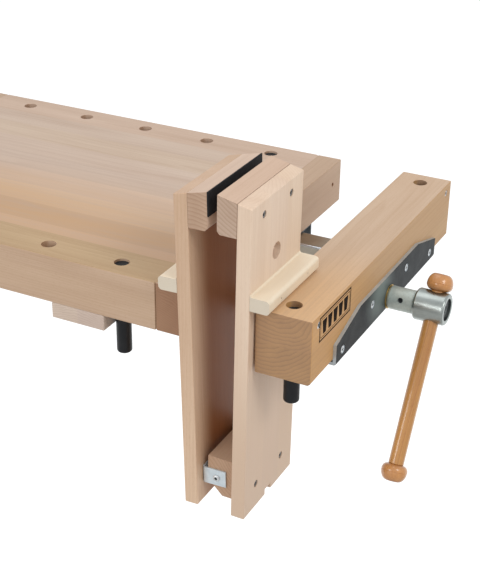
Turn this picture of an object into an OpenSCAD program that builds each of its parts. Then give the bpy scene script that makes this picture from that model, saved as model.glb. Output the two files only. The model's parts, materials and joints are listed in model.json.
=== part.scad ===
// Joiner's bench top with a full-width end vise and a raised clamping attachment held in it.
// X runs along the bench towards the vise, Y runs across it away from the front, Z is up.
// The origin is the centre of the underside of the vise-end batten, the face the unit stands on.

/* [Bench top] */
// Length of the bench top, without the vise
bench_length = 805; // [650:5:1600]
// Width of the bench top
bench_width = 600; // [560:5:800]
// Height of the rails and the end caps
rail_height = 82; // [66:1:110]
// Width of each long rail
rail_width = 73; // [60:1:110]
// Thickness of each end cap
cap_thickness = 45; // [30:1:60]
// Thickness of the panel between the rails
panel_thickness = 42; // [24:1:50]
// Width of the shadow groove between a rail and an end cap
groove_width = 2.5; // [1:0.5:4]
// Depth of the shadow groove
groove_depth = 3; // [1:0.5:6]

/* [Dog holes] */
// Diameter of every dog hole
dog_hole_d = 25; // [19:0.5:30]
// Distance between dog holes along a rail
dog_hole_pitch = 137; // [90:1:160]
// Distance from the vise end to the first dog hole
dog_hole_start = 128; // [100:1:150]

/* [Battens] */
// Width of each cross batten
batten_width = 98; // [60:1:120]
// Height of each cross batten
batten_height = 27; // [26:1:40]
// Gap between a batten and the wall of the nearest dog hole
batten_gap = 1.5; // [1:0.5:20]

/* [Vise jaw] */
// Room left between the bench end and the jaw beside the two boards and the heel block
vise_room = 25; // [12:1:62]
// Thickness of the jaw
jaw_thickness = 91.5; // [70:0.5:120]
// Height of the jaw
jaw_height = 108; // [90:1:130]
// Distance from each end of the jaw to its dog hole
jaw_hole_inset = 36; // [30:1:60]

/* [Jaw plate] */
// Thickness of the folded steel plate on the jaw
plate_thickness = 5.5; // [3:0.5:6]
// Distance that the plate runs past each guide channel
plate_margin = 77; // [45:1:95]
// Length of the plate's raised middle
plate_peak_length = 254; // [200:2:300]
// Height of the plate in the middle
plate_height = 61; // [50:1:80]
// Height of the plate at its ends
plate_end_height = 35; // [25:1:45]
// Width of the lip folded under the jaw
plate_lip = 12; // [8:1:30]

/* [Guides] */
// Width of each guide channel
guide_width = 48; // [30:1:55]
// Height of each guide channel
guide_height = 18; // [14:1:20]
// Gap between the near guide channel and the attachment boards beside it
guide_gap = 2; // [1:0.5:10]
// Thickness of the guide channel's steel
guide_wall = 3; // [2:0.5:4]
// Distance that the steel frame under the bench end runs past each guide channel
frame_margin = 35; // [32:1:50]
// Thickness of the steel frame
frame_thickness = 2; // [1.5:0.5:2]

/* [Spindle] */
// Diameter of the spindle's thread
spindle_d = 20; // [16:1:22]
// Depth of the spindle below the bench surface
spindle_depth = 94.5; // [94.5:0.5:97]
// Diameter of the collar next to the jaw
collar_d = 39; // [34:1:44]
// Length of the collar next to the jaw
collar_length = 45; // [30:1:60]
// Diameter of the spindle head
head_d = 53; // [46:1:60]
// Length of the spindle head
head_length = 50; // [46:1:70]
// Diameter of the cross pin in the collar
head_pin_d = 9; // [5:0.5:9]
// Angle of that pin from the vertical
head_pin_angle = 69; // [0:1:90]

/* [Handle] */
// Diameter of the handle bar
bar_d = 25; // [18:0.5:28]
// Length of the handle between its knobs
bar_length = 288; // [180:2:360]
// Diameter of each knob
knob_d = 43; // [36:1:50]
// Height of each knob
knob_height = 28; // [20:1:36]
// Angle at which the handle hangs, from the vertical
handle_angle = 30; // [0:1:60]

/* [Bench dogs] */
// Length of a bench dog
dog_length = 155; // [120:1:200]
// Depth of the jaw dogs' tops below the surface
jaw_dog_sink = 9; // [2:1:30]
// Depth of the bench dogs' tops below the surface
bench_dog_sink = 3.5; // [1:0.5:20]

/* [Attachment boards] */
// Width of each attachment board
board_width = 172; // [140:1:200]
// Thickness of each attachment board
board_thickness = 23; // [18:0.5:30]
// Height of each attachment board at its outer face
board_height = 535; // [500:1:620]
// Distance that the boards stand out past the bench's front side
board_overhang = 15; // [0:1:30]
// Lean of the back board towards the bench
back_lean = 1.65; // [0.5:0.05:2]
// Lean of the front board towards the jaw
front_lean = 0.65; // [0.3:0.05:0.8]
// Slope of the boards' top ends
top_slope = 11.9; // [0:0.1:20]
// Diameter of the hole through the front board
board_hole_d = 27; // [20:0.5:32]
// Height of that hole above the ledge's underside
board_hole_rise = 62; // [45:1:80]

/* [Attachment jaws] */
// Thickness of each jaw block
block_thickness = 32; // [24:0.5:36]
// Height of each jaw block
block_height = 54.5; // [45:0.5:75]
// Chamfer on a jaw block's lower inner edge
block_chamfer = 5; // [2:0.5:10]
// Thickness of the rubber pad
pad_thickness = 2.5; // [1.5:0.5:4]
// Height of the rubber pad
pad_height = 38; // [15:1:45]

/* [Ledges] */
// Width of each ledge
ledge_width = 32; // [20:0.5:33]
// Height of each ledge
ledge_height = 22.5; // [15:0.5:35]
// Height of a ledge's underside above the foot of its board
ledge_rise = 375.5; // [330:0.5:420]
// Radius of the ledge's rounded edges
ledge_radius = 6; // [1:0.5:6]

/* [Heel] */
// Thickness of the heel block
heel_thickness = 52; // [44:0.5:56]
// Height of the heel block
heel_height = 70; // [56:1:90]
// Height of the heel block's underside above the foot of the board
heel_rise = 16; // [5:1:40]
// Chamfer on the heel block's lower inner edge
heel_chamfer = 26; // [15:1:30]
// Distance of the heel block's ends from the board's edges
heel_inset = 20; // [12:1:35]
// Thickness of the hinge brackets
bracket_thickness = 2.5; // [2:0.5:3]
// Height of the hinge brackets
bracket_height = 29; // [28:1:36]
// Diameter of the pivot screws
pivot_d = 6; // [5:0.5:8]
// Height of the pivot above the foot of the board
pivot_rise = 50; // [45:1:60]
// Distance of the pivot into the heel block from the board
pivot_inset = 35; // [31:0.5:41]
// Travel that the bracket slots allow
slot_travel = 14; // [13:0.5:18]

/* [Fasteners] */
// Diameter of the wood screws' heads
screw_head_d = 12; // [8:0.5:14]
// Diameter of the wood screws' shanks
screw_shank_d = 5; // [4:0.5:6]

/* [Fits] */
// Radial clearance between a dog and its hole
dog_fit = 0.1; // [0.05:0.05:0.1]
// Radial clearance of turning shafts
shaft_fit = 0.05; // [0.02:0.01:0.1]
// Gap between faces that slide past each other
slide_gap = 0.4; // [0.3:0.1:1]
// Gap between the front board and the jaw at the jaw's top edge
jaw_play = 2.5; // [2:0.1:4]
// Height of the front ledge above the jaw
ledge_play = 1; // [0.8:0.1:2]

/* [Hidden] */
$fn = 96;
facet = 0.01;

// Bench
batten_set = dog_hole_start + dog_hole_d / 2 + batten_gap;
end_x = batten_set + batten_width / 2;
left_x = end_x - bench_length;
under_z = batten_height;
top_z = under_z + rail_height;
half_width = bench_width / 2;
rail_length = bench_length - 2 * cap_thickness;
rail_y = half_width - rail_width / 2;
dog_count = floor((bench_length - 2 * dog_hole_start) / dog_hole_pitch) + 1;
plain_batten_x = left_x + end_x;
batten_screw_x = batten_width / 2 - 18;
screw_sink = 1.5;
screw_head_h = 3.5;
screw_fit = 0.1;
socket_depth = 2;
socket_share = 0.45;
batten_screw_bite = 20;
cap_screw_drop = 38;
cap_screw_sink = 8;
cap_screw_head_d = 8;
cap_screw_length = 37;

// Vise
vise_gap = 2 * board_thickness + heel_thickness + vise_room;
jaw_x = end_x + vise_gap;
jaw_out_x = jaw_x + jaw_thickness;
jaw_mid_x = jaw_x + jaw_thickness / 2;
jaw_z = top_z - jaw_height;
plate_out_x = jaw_out_x + plate_thickness;
plate_z = jaw_z - plate_thickness;
spindle_r = spindle_d / 2;
spindle_z = top_z - spindle_depth;
spindle_reach = 118;
guide_reach = 100;
board_y = -half_width - board_overhang;
guide_y = -(board_y + board_width) - guide_gap - guide_width / 2;
guide_top_z = under_z - frame_thickness - slide_gap;
guide_z = guide_top_z - guide_height;
frame_depth = 110;
frame_half = guide_y + guide_width / 2 + frame_margin;
frame_screw_gap = 16;
frame_screw_head_d = 10;
frame_screw_bite = 20;
plate_half = guide_y + guide_width / 2 + plate_margin;
plate_screw_head_d = 14;
plate_screw_length = 38;
plate_screw_inset = 25;
plate_screw_drop = 18;
plate_mid_screw_y = 75;
plate_mid_screw_drop = 22;
face_screw_inset = 24;
face_screw_drop = 16;
face_screw_sink = 1;
face_screw_length = jaw_thickness / 2 - dog_hole_d / 2 - 4;
jaw_chamfer = 6;
frame_flange = 4;
frame_drop = batten_height - 1;
frame_setback = 1;
saddle_x = end_x - 60;
saddle_length = 48;
saddle_wall = 3;
nut_x = end_x - 88;
nut_length = 38;
nut_width = 52;
nut_flange_width = 92;
nut_flange = 5;
nut_screw_offset = 11;
nut_top_z = under_z + 12;
nut_bottom_z = spindle_z - spindle_r - 3.5;
bush_r = spindle_r + 3;
bush_flange_r = collar_d / 2 + 1;
bush_flange = 1;
bush_length = 24;
bush_fit = 0.1;
collar_gap = 0.2;
collar_x = plate_out_x + bush_flange + collar_gap;
head_x = collar_x + collar_length;
head_step = 4;
head_end_x = head_x + head_step + head_length;
head_recess_r = head_d / 2 - 8;
head_recess = 4;
retainer_r = 15;
retainer_length = 12;
bar_setback = 22.2;
bar_x = head_end_x - bar_setback;
knob_gap = 0.1;
knob_reach = head_d / 2 + knob_gap;
pin_setback = 24;
pin_x = collar_x + pin_setback;
spindle_chamfer = 2;
tenon_r = bar_d / 2 - 4;

// Attachment, in board coordinates: x inwards from the outer face, z up from the foot
board_mid_y = board_y + board_width / 2;
pivot_depth = board_thickness + pivot_inset;
rest_gap = 0.2;
back_foot_z = top_z + rest_gap - ledge_rise * cos(back_lean) + ledge_width * sin(back_lean);
back_foot_x = end_x + rest_gap + (top_z - back_foot_z) * tan(back_lean);
front_foot_z = top_z + ledge_play - ledge_rise * cos(front_lean) + ledge_width * sin(front_lean);
front_foot_x = jaw_x - jaw_play - (top_z - front_foot_z) * tan(front_lean);
board_inner_height = board_height + board_thickness * tan(top_slope);
block_inner_height = board_height + (board_thickness + block_thickness) * tan(top_slope);
block_z = board_inner_height - block_height;
block_screw_z = board_height - 22;
board_screw_inset = 41;
block_screw_length = 42;
heel_screw_z = heel_rise + 28;
heel_screw_length = 58;
nail_inset = 40;
nail_d = 1.6;
nail_head_d = 3;
nail_sink = 1.5;
nail_length = ledge_width + 12;
board_hole_z = ledge_rise + board_hole_rise;
notch_width = 20;
notch_height = 10;
ledge_fillet = 3;
heel_far = board_thickness + heel_thickness;

// Hinge brackets, in the back board's coordinates
back_shift_x = front_foot_x + pivot_rise * sin(front_lean) - pivot_depth * cos(front_lean) - back_foot_x;
back_shift_z = front_foot_z + pivot_rise * cos(front_lean) + pivot_depth * sin(front_lean) - back_foot_z;
hinge_x = back_shift_x * cos(back_lean) + back_shift_z * sin(back_lean);
hinge_z = -back_shift_x * sin(back_lean) + back_shift_z * cos(back_lean);
bracket_x = board_thickness + slide_gap;
bracket_end_x = hinge_x + 16;
bracket_leg = 34;
bracket_bend = 5;
heel_y = board_y + heel_inset;
bracket_y = heel_y - slide_gap - bracket_thickness;
bracket_seat = bracket_thickness + 2 * slide_gap;
pivot_screw_bite = 28;
slot_screw_d = 5;
slot_screw_bite = 15;
slot_screw_y = bracket_y + 22;
slot_width = slot_screw_d + 2 * slide_gap;
slot_down = 4;

// ---- Helpers ----

// Box given by its low and high corners
module span(low, high) {
    translate(low) cube(high - low);
}

// Cylinder along X from x0 to x1
module rod_x(r, x0, x1) {
    translate([x0, 0, 0]) rotate([0, 90, 0]) cylinder(r = r, h = x1 - x0);
}

// Wood screw along -Z with its head's top at z = 0
module screw(length, head_d = screw_head_d, shank_d = screw_shank_d) {
    difference() {
        translate([0, 0, -screw_head_h]) cylinder(d = head_d, h = screw_head_h);
        translate([0, 0, -socket_depth]) cylinder(d = head_d * socket_share, h = screw_head_h, $fn = 6);
    }
    translate([0, 0, -length]) cylinder(d = shank_d, h = length - screw_head_h + facet);
}

// The space that a screw takes, with an open counterbore above its head
module screw_hole(length, head_d = screw_head_d, shank_d = screw_shank_d, sink = screw_sink) {
    translate([0, 0, -screw_head_h]) cylinder(d = head_d + 2 * screw_fit, h = screw_head_h + sink + 1);
    translate([0, 0, -length]) cylinder(d = shank_d + screw_fit, h = length);
}

// Moves a piece drawn in board coordinates onto the back board or the front board
module on_back_board() {
    translate([back_foot_x, 0, back_foot_z]) rotate([0, -back_lean, 0]) children();
}
module on_front_board() {
    translate([front_foot_x, 0, front_foot_z]) rotate([0, front_lean, 0]) mirror([1, 0, 0]) children();
}

// Outline in board coordinates extruded across the board, from y0 to y1
module across(y0, y1) {
    translate([0, y1, 0]) rotate([90, 0, 0]) linear_extrude(height = y1 - y0) children();
}

// ---- Bench top ----

module dog_holes(y) {
    for (i = [0 : dog_count - 1])
        translate([end_x - dog_hole_start - i * dog_hole_pitch, y, under_z - 1])
            cylinder(d = dog_hole_d, h = rail_height + 2);
}

// Rail at the front; the rear rail is its mirror image
module rail() {
    difference() {
        span([left_x + cap_thickness, -half_width, under_z],
             [end_x - cap_thickness, -half_width + rail_width, top_z]);
        dog_holes(-rail_y);
        for (x = [left_x + cap_thickness - 1, end_x - cap_thickness - groove_width])
            span([x, -half_width - 1, under_z - 1],
                 [x + groove_width + 1, -half_width + groove_depth, top_z + 1]);
        for (x = [0, plain_batten_x], dx = [-batten_screw_x, batten_screw_x])
            translate([x + dx, -rail_y, under_z - 1])
                cylinder(d = screw_shank_d + screw_fit, h = batten_screw_bite + 6);
    }
}

module front_rail() {
    color("burlywood") rail();
}

module rear_rail() {
    color("burlywood") mirror([0, 1, 0]) rail();
}

module top_panel() {
    color("wheat")
        span([left_x + cap_thickness, -half_width + rail_width, top_z - panel_thickness],
             [end_x - cap_thickness, half_width - rail_width, top_z]);
}

module end_cap_screw_places() {
    for (side = [-1, 1])
        translate([-cap_screw_sink, side * rail_y, top_z - cap_screw_drop]) rotate([0, 90, 0]) children();
}

// End cap with its outer face at x = 0, drawn towards -X
module end_cap() {
    difference() {
        span([-cap_thickness, -half_width, under_z], [0, half_width, top_z]);
        end_cap_screw_places() screw_hole(cap_screw_length, head_d = cap_screw_head_d, sink = cap_screw_sink);
    }
}

module vise_end_cap() {
    color("tan") difference() {
        translate([end_x, 0, 0]) end_cap();
        frame_screw_places() cylinder(d = screw_shank_d + screw_fit, h = frame_screw_bite + 2);
    }
}

module plain_end_cap() {
    color("tan") translate([left_x, 0, 0]) mirror([1, 0, 0]) end_cap();
}

module end_cap_screws() {
    color("dimgray") {
        translate([end_x, 0, 0]) end_cap_screw_places()
            screw(cap_screw_length - 1, head_d = cap_screw_head_d);
        translate([left_x, 0, 0]) mirror([1, 0, 0]) end_cap_screw_places()
            screw(cap_screw_length - 1, head_d = cap_screw_head_d);
    }
}

// ---- Battens ----

module batten_screw_places() {
    for (side = [-1, 1], dx = [-batten_screw_x, batten_screw_x])
        translate([dx, side * rail_y, screw_sink]) rotate([180, 0, 0]) children();
}

module batten() {
    difference() {
        span([-batten_width / 2, -half_width, 0], [batten_width / 2, half_width, under_z]);
        batten_screw_places() screw_hole(batten_height + batten_screw_bite);
    }
}

module vise_end_batten() {
    color("burlywood") batten();
}

module plain_end_batten() {
    color("burlywood") translate([plain_batten_x, 0, 0]) batten();
}

module batten_screws() {
    color("dimgray") for (x = [0, plain_batten_x])
        translate([x, 0, 0]) batten_screw_places() screw(batten_height + batten_screw_bite);
}

// ---- Steel frame, guides and nut under the bench end ----

module frame_screw_places() {
    for (side = [-1, 1], dy = [-guide_width / 2 - frame_screw_gap, guide_width / 2 + frame_screw_gap])
        translate([end_x - cap_thickness / 2, side * (guide_y + dy), under_z]) children();
}

module vise_frame() {
    color("slategray") difference() {
        union() {
            span([end_x - frame_depth, -frame_half, under_z - frame_thickness],
                 [end_x - frame_setback, frame_half, under_z]);
            for (y = [-frame_half, frame_half - frame_flange])
                span([end_x - frame_depth, y, under_z - frame_drop],
                     [end_x - frame_setback, y + frame_flange, under_z]);
        }
        span([nut_x - 0.5, -nut_width / 2 - 0.5, under_z - frame_thickness - 1],
             [nut_x + nut_length + 0.5, nut_width / 2 + 0.5, under_z + 1]);
        frame_screw_places() translate([0, 0, -frame_thickness - 1])
            cylinder(d = screw_shank_d + screw_fit, h = frame_thickness + 2);
        nut_screw_places() translate([0, 0, -1])
            cylinder(d = screw_shank_d + screw_fit, h = frame_thickness + 2);
    }
}

module frame_screws() {
    color("silver") frame_screw_places() translate([0, 0, -frame_thickness - screw_head_h])
        rotate([180, 0, 0])
            screw(screw_head_h + frame_thickness + frame_screw_bite, head_d = frame_screw_head_d);
}

// U-shaped saddle that holds a guide channel up against the frame
module guide_saddle() {
    inner = guide_width / 2 + slide_gap;
    outer = inner + saddle_wall;
    floor_z = guide_z - slide_gap;
    difference() {
        span([saddle_x, -outer, floor_z - saddle_wall],
             [saddle_x + saddle_length, outer, under_z - frame_thickness]);
        span([saddle_x - 1, -inner, floor_z],
             [saddle_x + saddle_length + 1, inner, under_z]);
    }
}

module near_guide_saddle() {
    color("gray") translate([0, -guide_y, 0]) guide_saddle();
}

module far_guide_saddle() {
    color("gray") translate([0, guide_y, 0]) guide_saddle();
}

module nut_screw_places() {
    y = nut_width / 2 + nut_screw_offset;
    for (side = [-1, 1])
        translate([nut_x + nut_length / 2, side * y, under_z - frame_thickness]) children();
}

module spindle_nut() {
    color("dimgray") difference() {
        union() {
            span([nut_x, -nut_width / 2, nut_bottom_z], [nut_x + nut_length, nut_width / 2, nut_top_z]);
            span([nut_x, -nut_flange_width / 2, under_z - frame_thickness - nut_flange],
                 [nut_x + nut_length, nut_flange_width / 2, under_z - frame_thickness]);
        }
        translate([0, 0, spindle_z]) rod_x(spindle_r + shaft_fit, nut_x - 1, nut_x + nut_length + 1);
        nut_screw_places() translate([0, 0, -nut_flange - 1])
            cylinder(d = screw_shank_d + screw_fit, h = nut_flange + 2);
    }
}

module nut_screws() {
    color("silver") nut_screw_places() translate([0, 0, -nut_flange - screw_head_h])
        rotate([180, 0, 0]) screw(screw_head_h + nut_flange + frame_thickness, head_d = frame_screw_head_d);
}

// ---- Vise jaw ----

module plate_screw_places() {
    end_y = plate_half - plate_screw_inset;
    end_z = plate_z + plate_end_height - plate_screw_drop;
    mid_z = plate_z + plate_height - plate_mid_screw_drop;
    for (place = [[-end_y, end_z], [-plate_mid_screw_y, mid_z], [plate_mid_screw_y, mid_z], [end_y, end_z]])
        translate([plate_out_x, place[0], place[1]]) rotate([0, 90, 0]) children();
}

module jaw_face_screw_places() {
    for (y = [face_screw_inset - half_width, half_width - face_screw_inset])
        translate([jaw_out_x - face_screw_sink, y, top_z - face_screw_drop]) rotate([0, 90, 0]) children();
}

module vise_jaw() {
    color("sandybrown") difference() {
        span([jaw_x, -half_width, jaw_z], [jaw_out_x, half_width, top_z]);
        for (side = [-1, 1]) {
            translate([jaw_mid_x, side * (half_width - jaw_hole_inset), jaw_z - 1])
                cylinder(d = dog_hole_d, h = jaw_height + 2);
            translate([0, side * guide_y, 0])
                span([jaw_x - 1, -guide_width / 2 - slide_gap, jaw_z - 1],
                     [jaw_out_x + 1, guide_width / 2 + slide_gap, guide_top_z + slide_gap]);
        }
        translate([0, 0, spindle_z]) {
            rod_x(bush_r + bush_fit, jaw_x - 1, jaw_out_x + 1);
            span([jaw_x - 1, -bush_r - bush_fit, -jaw_height], [jaw_out_x + 1, bush_r + bush_fit, 0]);
        }
        translate([jaw_out_x, 0, jaw_z]) rotate([0, 45, 0])
            cube([jaw_chamfer, bench_width + 2, jaw_chamfer], center = true);
        plate_screw_places() screw_hole(plate_screw_length, head_d = plate_screw_head_d);
        jaw_face_screw_places() screw_hole(face_screw_length);
    }
}

// Folded plate: a tapered face with a narrow lip under the jaw
module jaw_plate() {
    peak = plate_peak_length / 2;
    color("lightslategray") difference() {
        union() {
            translate([jaw_out_x, 0, plate_z]) rotate([90, 0, 90]) linear_extrude(height = plate_thickness)
                polygon([[-plate_half, 0], [plate_half, 0], [plate_half, plate_end_height],
                         [peak, plate_height], [-peak, plate_height], [-plate_half, plate_end_height]]);
            span([plate_out_x - plate_lip, -plate_half, plate_z], [plate_out_x, plate_half, jaw_z]);
        }
        translate([0, 0, spindle_z]) rod_x(bush_r + bush_fit, jaw_out_x - plate_lip, plate_out_x + 1);
        span([jaw_out_x - plate_lip, -bush_r - bush_fit, plate_z - 1],
             [jaw_out_x, bush_r + bush_fit, spindle_z]);
        plate_screw_places() screw_hole(plate_screw_length, head_d = plate_screw_head_d);
    }
}

module jaw_plate_screws() {
    color("silver") plate_screw_places() screw(plate_screw_length, head_d = plate_screw_head_d);
}

module jaw_face_screws() {
    color("silver") jaw_face_screw_places() screw(face_screw_length);
}

// Guide channel: an inverted U that runs from the plate back under the bench
module guide() {
    difference() {
        span([end_x - guide_reach, -guide_width / 2, guide_z], [jaw_out_x, guide_width / 2, guide_top_z]);
        span([end_x - guide_reach - 1, -guide_width / 2 + guide_wall, guide_z - 1],
             [jaw_out_x + 1, guide_width / 2 - guide_wall, guide_top_z - guide_wall]);
    }
}

module near_guide() {
    color("lightsteelblue") translate([0, -guide_y, 0]) guide();
}

module far_guide() {
    color("lightsteelblue") translate([0, guide_y, 0]) guide();
}

module brass_bush() {
    color("goldenrod") translate([0, 0, spindle_z]) difference() {
        union() {
            rod_x(bush_r, plate_out_x - bush_length, plate_out_x);
            rod_x(bush_flange_r, plate_out_x, plate_out_x + bush_flange);
        }
        rod_x(spindle_r + shaft_fit, plate_out_x - bush_length - 1, plate_out_x + bush_flange + 1);
    }
}

// ---- Spindle and handle ----

module spindle() {
    color("silver") translate([0, 0, spindle_z]) difference() {
        union() {
            rod_x(spindle_r, end_x - spindle_reach + spindle_chamfer, head_x);
            translate([end_x - spindle_reach, 0, 0]) rotate([0, 90, 0])
                cylinder(r1 = spindle_r - spindle_chamfer, r2 = spindle_r, h = spindle_chamfer);
        }
        translate([pin_x, 0, 0]) head_pin_axis() cylinder(d = head_pin_d, h = collar_d + 2, center = true);
    }
}

// Turns +Z to the cross pin's direction
module head_pin_axis() {
    rotate([head_pin_angle, 0, 0]) children();
}

// Turns +Z to the handle's direction
module handle_axis() {
    translate([bar_x, 0, spindle_z]) rotate([-handle_angle, 0, 0]) children();
}

module spindle_head() {
    collar_r = collar_d / 2;
    head_r = head_d / 2;
    rim = 3;
    color("gainsboro") difference() {
        translate([0, 0, spindle_z]) rotate([0, 90, 0]) rotate_extrude()
            polygon([[spindle_r, collar_x], [collar_r - 1.5, collar_x], [collar_r, collar_x + 1.5],
                     [collar_r, head_x - 1], [collar_r - 1, head_x], [head_r - 3, head_x + 1],
                     [head_r, head_x + head_step],
                     [head_r, head_end_x - rim],
                     for (a = [15 : 15 : 75]) [head_r - rim + rim * cos(a), head_end_x - rim + rim * sin(a)],
                     [head_r - rim, head_end_x], [head_recess_r + 1, head_end_x],
                     [head_recess_r, head_end_x - 1], [head_recess_r, head_end_x - head_recess],
                     [0, head_end_x - head_recess], [0, head_x], [spindle_r, head_x]]);
        translate([pin_x, 0, spindle_z]) head_pin_axis()
            cylinder(d = head_pin_d, h = collar_d + 2, center = true);
        handle_axis() cylinder(d = bar_d + 2 * slide_gap, h = head_d + 2, center = true);
    }
}

module head_pin() {
    color("black") translate([pin_x, 0, spindle_z]) head_pin_axis() difference() {
        cylinder(d = head_pin_d, h = collar_d - 4, center = true);
        cylinder(d = head_pin_d - 3, h = collar_d, center = true);
    }
}

module retaining_collar() {
    color("gray") translate([0, 0, spindle_z]) difference() {
        rod_x(retainer_r, jaw_x - slide_gap - retainer_length, jaw_x - slide_gap);
        rod_x(spindle_r, jaw_x - slide_gap - retainer_length - 1, jaw_x);
    }
}

module handle_bar() {
    color("peru") handle_axis() {
        translate([0, 0, knob_reach - bar_length]) cylinder(d = bar_d, h = bar_length);
        translate([0, 0, knob_reach - bar_length - knob_height / 2])
            cylinder(r = tenon_r, h = bar_length + knob_height);
    }
}

// Turned knob on its own axis, with its flat seat at z = 0
module knob() {
    r = knob_d / 2;
    soft = knob_height * 0.36;
    difference() {
        rotate_extrude() polygon([[0, 0], [r * 0.62, 0],
            for (a = [-75 : 15 : 0]) [r - soft + soft * cos(a), soft + soft * sin(a)],
            for (a = [10 : 10 : 80]) [r - r * 0.55 * (1 - cos(a)),
                                      soft + (knob_height - soft) * sin(a)],
            [r * 0.42, knob_height], [0, knob_height]]);
        translate([0, 0, -1]) cylinder(r = tenon_r, h = knob_height / 2 + 1);
    }
}

module upper_knob() {
    color("chocolate") handle_axis() translate([0, 0, knob_reach]) knob();
}

module lower_knob() {
    color("chocolate") handle_axis() translate([0, 0, knob_reach - bar_length]) mirror([0, 0, 1]) knob();
}

// ---- Bench dogs ----

// Round dog with its top at z = 0
module dog() {
    r = dog_hole_d / 2 - dog_fit;
    nose = 4;
    rotate_extrude() polygon([[0, 0], [r - 1, 0], [r, -1], [r, nose - dog_length],
        for (a = [15 : 15 : 75]) [r - nose + nose * cos(a), nose - dog_length - nose * sin(a)],
        [r - nose, -dog_length], [0, -dog_length]]);
}

module near_bench_dog() {
    color("black") translate([end_x - dog_hole_start, -rail_y, top_z - bench_dog_sink]) dog();
}

module far_bench_dog() {
    color("black") translate([end_x - dog_hole_start, rail_y, top_z - bench_dog_sink]) dog();
}

module near_jaw_dog() {
    color("black") translate([jaw_mid_x, jaw_hole_inset - half_width, top_z - jaw_dog_sink]) dog();
}

module far_jaw_dog() {
    color("black") translate([jaw_mid_x, half_width - jaw_hole_inset, top_z - jaw_dog_sink]) dog();
}

// ---- Attachment: boards and jaw blocks ----

module board_outline() {
    polygon([[0, 0], [board_thickness, 0], [board_thickness, board_inner_height], [0, board_height]]);
}

module block_screw_places() {
    for (y = [board_y + board_screw_inset, board_y + board_width - board_screw_inset])
        translate([screw_sink, y, block_screw_z]) rotate([0, -90, 0]) children();
}

module heel_screw_places() {
    for (y = [board_y + board_screw_inset, board_y + board_width - board_screw_inset])
        translate([screw_sink, y, heel_screw_z]) rotate([0, -90, 0]) children();
}

module slot_screw_places() {
    for (y = [slot_screw_y, 2 * board_mid_y - slot_screw_y])
        translate([board_thickness, y, hinge_z]) rotate([0, 90, 0]) children();
}

module back_board() {
    color("bisque") on_back_board() difference() {
        across(board_y, board_y + board_width) board_outline();
        block_screw_places() screw_hole(block_screw_length);
        slot_screw_places() translate([0, 0, -slot_screw_bite])
            cylinder(d = slot_screw_d, h = slot_screw_bite + 1);
    }
}

module front_board() {
    color("bisque") on_front_board() difference() {
        across(board_y, board_y + board_width) board_outline();
        block_screw_places() screw_hole(block_screw_length);
        heel_screw_places() screw_hole(heel_screw_length);
        translate([-1, board_mid_y, board_hole_z]) rod_x(board_hole_d / 2, 0, board_thickness + 2);
        span([-1, board_mid_y - notch_width / 2, -1],
             [board_thickness + 1, board_mid_y + notch_width / 2, notch_height]);
        nail_places() cylinder(d = nail_d, h = nail_length);
    }
}

module jaw_block() {
    x0 = board_thickness;
    x1 = board_thickness + block_thickness;
    difference() {
        across(board_y, board_y + board_width)
            polygon([[x0, block_z], [x1 - block_chamfer, block_z], [x1, block_z + block_chamfer],
                     [x1, block_inner_height], [x0, board_inner_height]]);
        block_screw_places() screw_hole(block_screw_length);
    }
}

module back_jaw_block() {
    color("antiquewhite") on_back_board() jaw_block();
}

module front_jaw_block() {
    color("antiquewhite") on_front_board() jaw_block();
}

module rubber_pad() {
    x0 = board_thickness + block_thickness;
    slope = tan(top_slope);
    color("black") on_back_board() across(board_y, board_y + board_width)
        polygon([[x0, block_inner_height - pad_height], [x0 + pad_thickness, block_inner_height - pad_height],
                 [x0 + pad_thickness, block_inner_height + pad_thickness * slope],
                 [x0, block_inner_height]]);
}

module back_block_screws() {
    color("silver") on_back_board() block_screw_places() screw(block_screw_length);
}

module front_block_screws() {
    color("silver") on_front_board() block_screw_places() screw(block_screw_length);
}

// ---- Attachment: ledges ----

// Ledge on the outer face, with a cove where its top meets the board
module ledge() {
    w = ledge_width;
    h = ledge_height;
    r = ledge_radius;
    f = ledge_fillet;
    translate([0, 0, ledge_rise]) across(board_y, board_y + board_width)
        polygon([[0, 0], [-w + r, 0],
                 for (a = [105 : 15 : 165]) [-w + r + r * cos(a) , r - r * sin(a)],
                 [-w, r], [-w, h - r],
                 for (a = [165 : -15 : 105]) [-w + r + r * cos(a), h - r + r * sin(a)],
                 [-w + r, h], [-f, h],
                 for (a = [15 : 15 : 75]) [-f + f * sin(a), h + f - f * cos(a)],
                 [0, h + f]]);
}

module nail_places() {
    for (y = [board_y + nail_inset, board_y + board_width - nail_inset])
        translate([nail_sink - ledge_width, y, ledge_rise + ledge_height / 2]) rotate([0, 90, 0]) children();
}

module back_ledge() {
    color("cornsilk") on_back_board() ledge();
}

module front_ledge() {
    color("cornsilk") on_front_board() difference() {
        ledge();
        nail_places() cylinder(d = nail_d, h = nail_length);
        nail_places() translate([0, 0, -nail_sink - 1]) cylinder(d = nail_head_d, h = nail_sink + 2);
    }
}

module ledge_nails() {
    color("gray") on_front_board() nail_places() {
        cylinder(d = nail_head_d, h = 1);
        cylinder(d = nail_d, h = nail_length);
    }
}

// ---- Attachment: heel block and hinge ----

module heel_block() {
    z0 = heel_rise;
    color("antiquewhite") on_front_board() difference() {
        across(heel_y, 2 * board_mid_y - heel_y)
            polygon([[board_thickness, z0], [heel_far - heel_chamfer, z0], [heel_far, z0 + heel_chamfer],
                     [heel_far, z0 + heel_height], [board_thickness, z0 + heel_height]]);
        heel_screw_places() screw_hole(heel_screw_length);
        pivot_places() translate([0, 0, -pivot_screw_bite]) cylinder(d = pivot_d, h = pivot_screw_bite + 1);
    }
}

module heel_block_screws() {
    color("silver") on_front_board() heel_screw_places() screw(heel_screw_length);
}

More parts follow.
